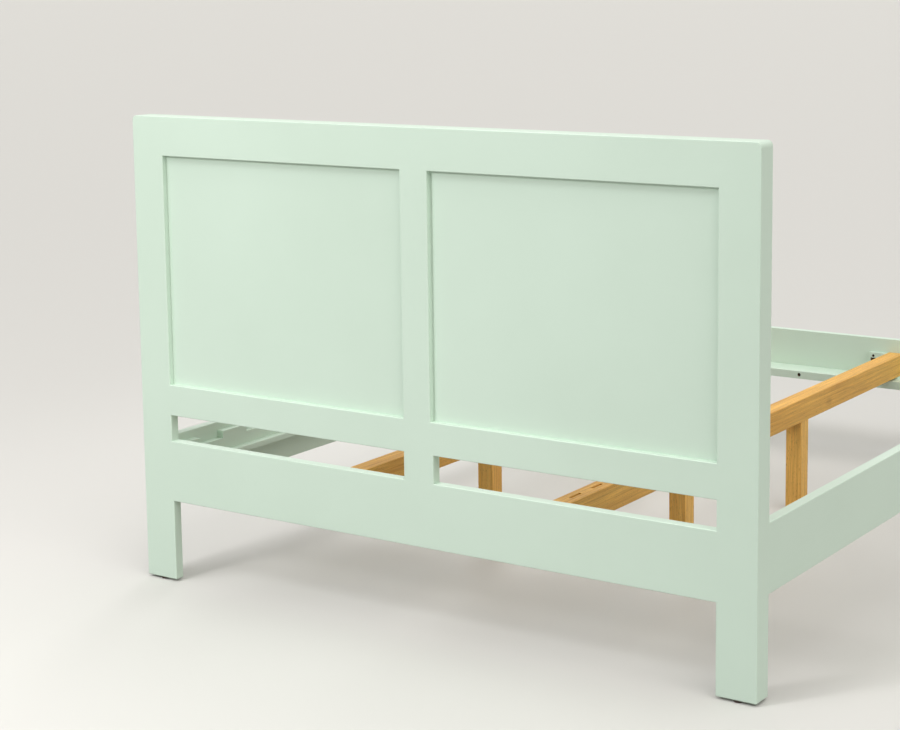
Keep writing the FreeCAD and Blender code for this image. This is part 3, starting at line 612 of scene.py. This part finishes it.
# %% Lay a row of strands
def lay_row(tree, given):
    """Straight strands along Y, side by side on X, each a little off its place and with a tone of its own."""
    last = add(tree, "ShaderNodeMath", {0: given["Count"], 1: 1.0}, operation="SUBTRACT")
    span = add(tree, "ShaderNodeMath", {0: last, 1: given["Spacing"]}, operation="MULTIPLY")
    first_x = add(tree, "ShaderNodeMath", {0: span, 1: -0.5, 2: given["Aside"]}, operation="MULTIPLY_ADD")
    start = add(tree, "ShaderNodeCombineXYZ", {"X": first_x})
    step = add(tree, "ShaderNodeCombineXYZ", {"X": given["Spacing"]})
    row = add(tree, "GeometryNodeMeshLine", {"Count": given["Count"], "Start Location": start,
                                             "Offset": step})
    low_y = add(tree, "ShaderNodeMath", {0: given["Length"], 1: -0.5}, operation="MULTIPLY")
    high_y = add(tree, "ShaderNodeMath", {0: given["Length"], 1: 0.5}, operation="MULTIPLY")
    low_end = add(tree, "ShaderNodeCombineXYZ", {"Y": low_y})
    high_end = add(tree, "ShaderNodeCombineXYZ", {"Y": high_y})
    line = add(tree, "GeometryNodeCurvePrimitiveLine", {"Start": low_end, "End": high_end})
    points = add(tree, "ShaderNodeMath", {0: given["Pieces"], 1: 1.0}, operation="ADD")
    fine = add(tree, "GeometryNodeResampleCurve", {"Curve": line, "Count": points})
    laid = add(tree, "GeometryNodeInstanceOnPoints", {"Points": row, "Instance": fine})
    strands = add(tree, "GeometryNodeRealizeInstances", {"Geometry": laid})

    strand_number = add(tree, "GeometryNodeCurveOfPoint").outputs["Curve Index"]
    back = add(tree, "ShaderNodeMath", {0: given["Jitter"], 1: -1.0}, operation="MULTIPLY")
    sway = add(tree, "FunctionNodeRandomValue", {2: back, 3: given["Jitter"], "ID": strand_number,
                                                 "Seed": given["Seed"]}, data_type="FLOAT")
    aside = add(tree, "ShaderNodeCombineXYZ", {"X": sway.outputs[1]})
    swayed = add(tree, "GeometryNodeSetPosition", {"Geometry": strands, "Offset": aside})
    number = add(tree, "GeometryNodeInputIndex")
    tone = add(tree, "FunctionNodeRandomValue", {2: 0.0, 3: 1.0, "ID": number, "Seed": given["Seed"]},
               data_type="FLOAT")
    return add(tree, "GeometryNodeStoreNamedAttribute", {"Geometry": swayed, "Name": "strand_tone",
                                                         "Value": tone.outputs[1]},
               data_type="FLOAT", domain="CURVE")


laid_row = lay_row(STRANDS, GIVEN)
print("nodes that lay a row:", len(STRANDS.nodes))

# %% [markdown]
# The second step turns the row to its own direction and gives it its height: a straight family lies at one
# level, and a diagonal rises and falls with a cosine, once for each repeat of the weave. The third cuts off
# what lies beyond the panel's edges, where a bead covers the ends.


# %% Wave and crop the row
def wave_row(tree, given, strands):
    """Turns a row on Z, then lifts it and waves it over and under the rows that it crosses."""
    turn = add(tree, "ShaderNodeCombineXYZ", {"Z": given["Turn"]})
    turned = add(tree, "GeometryNodeTransform", {"Geometry": strands, "Rotation": turn})
    place = add(tree, "GeometryNodeInputPosition")
    along = add(tree, "ShaderNodeVectorMath", {0: place, 1: given["Wave Way"]},
                operation="DOT_PRODUCT").outputs["Value"]
    cycles = add(tree, "ShaderNodeMath", {0: along, 1: given["Wave Pitch"]}, operation="DIVIDE")
    angle = add(tree, "ShaderNodeMath", {0: cycles, 1: 2 * math.pi}, operation="MULTIPLY")
    swing = add(tree, "ShaderNodeMath", {0: angle}, operation="COSINE")
    height = add(tree, "ShaderNodeMath", {0: swing, 1: given["Wave"], 2: given["Lift"]},
                 operation="MULTIPLY_ADD")
    rise = add(tree, "ShaderNodeCombineXYZ", {"Z": height})
    return add(tree, "GeometryNodeSetPosition", {"Geometry": turned, "Offset": rise})


def crop_row(tree, given, strands):
    """Cuts off what lies beyond the panel's edges, and drops a strand that has a single point left."""
    place = add(tree, "ShaderNodeSeparateXYZ", {0: add(tree, "GeometryNodeInputPosition")}).outputs
    edge = add(tree, "ShaderNodeSeparateXYZ", {0: given["Crop"]}).outputs
    beyond = []
    for axis in "XY":
        off = add(tree, "ShaderNodeMath", {0: place[axis]}, operation="ABSOLUTE")
        beyond.append(add(tree, "ShaderNodeMath", {0: off, 1: edge[axis]}, operation="GREATER_THAN"))
    outside = add(tree, "ShaderNodeMath", {0: beyond[0], 1: beyond[1]}, operation="MAXIMUM")
    cropped = add(tree, "GeometryNodeDeleteGeometry", {"Geometry": strands, "Selection": outside},
                  domain="POINT")
    points = add(tree, "GeometryNodeSplineLength").outputs["Point Count"]
    lone = add(tree, "ShaderNodeMath", {0: points, 1: 2.0}, operation="LESS_THAN")
    return add(tree, "GeometryNodeDeleteGeometry", {"Geometry": cropped, "Selection": lone}, domain="CURVE")


waved_row = wave_row(STRANDS, GIVEN, laid_row)
cropped_row = crop_row(STRANDS, GIVEN, waved_row)
print("nodes so far:", len(STRANDS.nodes))

# %% [markdown]
# The last step gives the strands a body: flat at the back, and with a narrower crown, as split bark has. A
# curve could be turned into a round tube, but that would look like wire. The tree then joins its row to what
# the piece holds already, so that six copies of the modifier with different numbers weave a whole panel.

# %% Give the strands a body
CROWN_SHARE = 0.5


def thicken(tree, given, strands):
    """Gives each strand its flat section with a narrower crown, shaded smooth."""
    upright = add(tree, "GeometryNodeSetCurveNormal", {"Curve": strands}, mode="Z_UP")
    crown = add(tree, "ShaderNodeMath", {0: given["Strand Width"], 1: CROWN_SHARE}, operation="MULTIPLY")
    section = add(tree, "GeometryNodeCurvePrimitiveQuadrilateral", {
        "Bottom Width": given["Strand Width"], "Top Width": crown, "Height": given["Strand Thickness"],
        "Offset": 0.0}, mode="TRAPEZOID")
    solid = add(tree, "GeometryNodeCurveToMesh", {"Curve": upright, "Profile Curve": section,
                                                  "Fill Caps": True})
    return add(tree, "GeometryNodeSetShadeSmooth", {"Geometry": solid})


joined = add(STRANDS, "GeometryNodeJoinGeometry", {0: GIVEN["Geometry"]})
feed(STRANDS, joined, {0: thicken(STRANDS, GIVEN, cropped_row)})
real = add(STRANDS, "GeometryNodeRealizeInstances", {"Geometry": joined})
finished = add(STRANDS, "GeometryNodeSetMaterial", {"Geometry": real, "Material": GIVEN["Material"]})
add(STRANDS, "NodeGroupOutput", {"Geometry": finished})
print("nodes of the whole strand tree:", len(STRANDS.nodes))

# %% [markdown]
# The real webbing of this kind repeats about every 14 millimetres, with strands some 2.5 millimetres wide. A
# pair of strands always runs through the middle of the panel, so the counts are odd for the pairs and even
# for the diagonals, and the diagonals then fall halfway between the crossings. The weave is laid flat on X
# and Y with its thickness on Z, and stood up at the end.

# %% The six families of strands
CANE_PITCH = 14 * MM
PAIR_GAP = 3.6 * MM
STRAND_WIDTH = 2.5 * MM
STRAND_THICKNESS = 0.42 * MM
STRAND_JITTER = 0.18 * MM
PIECES_PER_DIAGONAL = 4


def odd_count(length):
    """The largest odd number of pairs that fit in a length."""
    return 2 * int((length / 2 - PAIR_GAP) / CANE_PITCH) + 1


def strand_families(wide, tall, thick):
    """The six families of strands of a panel, each with the inputs of the strand tree."""
    layer = (thick - STRAND_THICKNESS) / 2
    middle = thick / 2
    corner = math.hypot(wide, tall)
    diagonal_gap = CANE_PITCH / math.sqrt(2)
    diagonals = 2 * math.ceil(corner / 2 / diagonal_gap)
    diagonal_step = CANE_PITCH * math.sqrt(2) / PIECES_PER_DIAGONAL
    diagonal_pieces = 2 * math.ceil(corner / 2 / diagonal_step)
    straight = {"Spacing": CANE_PITCH, "Wave": 0.0}
    families = []
    for aside, lift in ((-PAIR_GAP / 2, middle - layer / 2), (PAIR_GAP / 2, middle + layer / 2)):
        families.append({**straight, "Count": odd_count(wide), "Aside": aside, "Length": tall, "Turn": 0.0,
                         "Lift": lift, "Pieces": odd_count(tall)})
        families.append({**straight, "Count": odd_count(tall), "Aside": aside, "Length": wide,
                         "Turn": math.pi / 2, "Lift": middle, "Pieces": odd_count(wide)})
    for lean, way in ((-1, (0.0, 1.0, 0.0)), (1, (1.0, 0.0, 0.0))):
        families.append({"Count": diagonals, "Spacing": diagonal_gap, "Aside": 0.0,
                         "Length": diagonal_pieces * diagonal_step, "Pieces": diagonal_pieces,
                         "Turn": lean * math.pi / 4, "Lift": middle, "Wave": layer, "Wave Way": way})
    return families


print("weave: every %.0f mm, strands %.1f mm wide" % (CANE_PITCH / MM, STRAND_WIDTH / MM))

# %% [markdown]
# Each panel's sheet says how wide, tall and thick its weave is. Six modifiers lay the six families, the
# result is turned into a plain mesh, and that takes the place of the plain sheet.


# %% Weave the two cane panels
def weave(side):
    """Cane webbing of one panel, woven flat and then stood up against the panel's front."""
    node = "cane_panel_" + side
    low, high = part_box(node)
    size = high - low
    piece = bpy.data.objects.new("cane_webbing_" + side, bpy.data.meshes.new("cane_webbing_" + side))
    scene.collection.objects.link(piece)
    sockets = STRANDS.interface.items_tree
    identifiers = {socket.name: socket.identifier for socket in sockets if socket.in_out == "INPUT"}
    shared = {"Wave Pitch": CANE_PITCH, "Crop": (size.x / 2, size.z / 2, 0.0), "Strand Width": STRAND_WIDTH,
              "Strand Thickness": STRAND_THICKNESS, "Jitter": STRAND_JITTER, "Material": CANE}
    for number, family in enumerate(strand_families(size.x, size.z, size.y)):
        row = piece.modifiers.new("strands_%d" % number, "NODES")
        row.node_group = STRANDS
        for name, value in {**shared, **family, "Seed": number}.items():
            row[identifiers[name]] = value
    woven = piece.evaluated_get(bpy.context.evaluated_depsgraph_get())
    mesh = bpy.data.meshes.new_from_object(woven)
    piece.modifiers.clear()
    piece.data = mesh
    middle = Vector(((low.x + high.x) / 2, low.y, (low.z + high.z) / 2))
    mesh.transform(Matrix.Translation(middle) @ Matrix.Rotation(-math.pi / 2, 4, "X"))
    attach(piece, "root")
    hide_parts(node)
    return piece


for side in ("left", "right"):
    webbing = weave(side)
    print(webbing.name, "triangles:", sum(len(face.vertices) - 2 for face in webbing.data.polygons))
